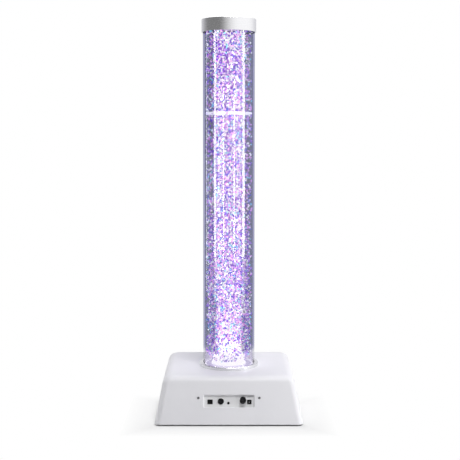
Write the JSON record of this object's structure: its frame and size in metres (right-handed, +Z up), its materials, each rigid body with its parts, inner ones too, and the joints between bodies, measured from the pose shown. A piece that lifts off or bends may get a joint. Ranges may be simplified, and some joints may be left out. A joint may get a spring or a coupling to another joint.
{
  "type": "bubble tube floor lamp",
  "caption": "Floor lamp with a clear water-filled bubble column on a square tapered base, lit from below, with a lift-off metal cap and a recessed control panel.",
  "frame": {"origin": "on the floor, under the middle of the base", "axes": "+Z up along the tube, +X to the right seen from the front, -Y out of the front with the controls"},
  "size_m": [0.41, 0.41, 1.1315],
  "materials": {
    "housing_white": "satin moulded",
    "board_dark": "matt board",
    "black_rubber": "soft",
    "zinc_steel": "zinc plated",
    "trim_metal": "satin",
    "clear_acrylic": "clear, polished",
    "socket_grey": "moulded",
    "brushed_aluminium": "brushed round the axis, clear anodised",
    "plate_aluminium": "sheet",
    "circuit_white": "white solder mask",
    "led_violet": "lit lamp packages",
    "white_nylon": "moulded",
    "valve_green": "tinted plastic",
    "hose_clear": "soft clear hose",
    "pump_grey": "moulded",
    "pump_lid_grey": "moulded",
    "tray_white": "satin moulded",
    "control_black": "moulded",
    "knob_black": "fine satin",
    "terminal_nickel": "plated",
    "pot_steel": "pressed",
    "circuit_green": "green solder mask",
    "component_black": "moulded",
    "wire_red": "insulation"
  },
  "bodies": {
    "base": {"base_cover": "housing_white", "base_plate": "board_dark", "rubber_feet": "black_rubber", "foot_screws": "zinc_steel", "cover_blocks": "white_nylon", "cover_screws": "zinc_steel", "collar_ring": "trim_metal", "tube": "clear_acrylic", "tube_floor": "clear_acrylic", "tube_gasket": "black_rubber", "tube_socket": "socket_grey", "socket_screws": "zinc_steel", "heat_plate": "plate_aluminium", "led_board": "circuit_white", "leds": "led_violet", "air_fitting": "white_nylon", "fitting_washer": "black_rubber", "fitting_nut": "white_nylon", "air_diffuser": "white_nylon", "fitting_hose": "hose_clear", "check_valve": "valve_green", "pump_hose": "hose_clear", "air_pump": "pump_grey", "pump_lid": "pump_lid_grey", "pump_feet": "black_rubber", "control_tray": "tray_white", "tray_screws": "zinc_steel", "switch_body": "control_black", "switch_terminals": "terminal_nickel", "button_body": "control_black", "button_nut": "socket_grey", "jack_socket": "control_black", "flow_pot": "pot_steel", "pot_nut": "zinc_steel", "inlet_body": "control_black", "inlet_pin": "terminal_nickel", "control_board": "circuit_green", "board_standoffs": "white_nylon", "board_screws": "zinc_steel", "board_parts": "component_black", "panel_wires": "wire_red", "led_cable": "wire_red", "pump_cable": "wire_red"},
    "cap": {"cap": "brushed_aluminium", "cap_liner": "white_nylon", "cap_gasket": "black_rubber"},
    "rocker": {"switch_rocker": "control_black"},
    "button": {"colour_button": "knob_black"},
    "knob": {"flow_knob": "knob_black", "knob_shaft": "plate_aluminium"}
  },
  "joints": [
    {"name": "cap_lift", "type": "slide", "parent": "base", "child": "cap", "axis": [0, 0, 1], "range_m": [0, 0.15]},
    {"name": "rocker_tip", "type": "hinge", "parent": "base", "child": "rocker", "pos_m": [-0.0522, -0.16924, 0.05801], "axis": [0, -0.456, -0.89], "range_deg": [0, 16]},
    {"name": "button_press", "type": "slide", "parent": "base", "child": "button", "axis": [0, 0.89, -0.456], "range_m": [0, 0.0022], "stiffness_N_per_m": 400, "springref_m": -0.0005},
    {"name": "knob_turn", "type": "hinge", "parent": "base", "child": "knob", "pos_m": [0.0392, -0.16871, 0.06167], "axis": [0, 0.89, -0.456], "range_deg": [-150, 150]}
  ]
}
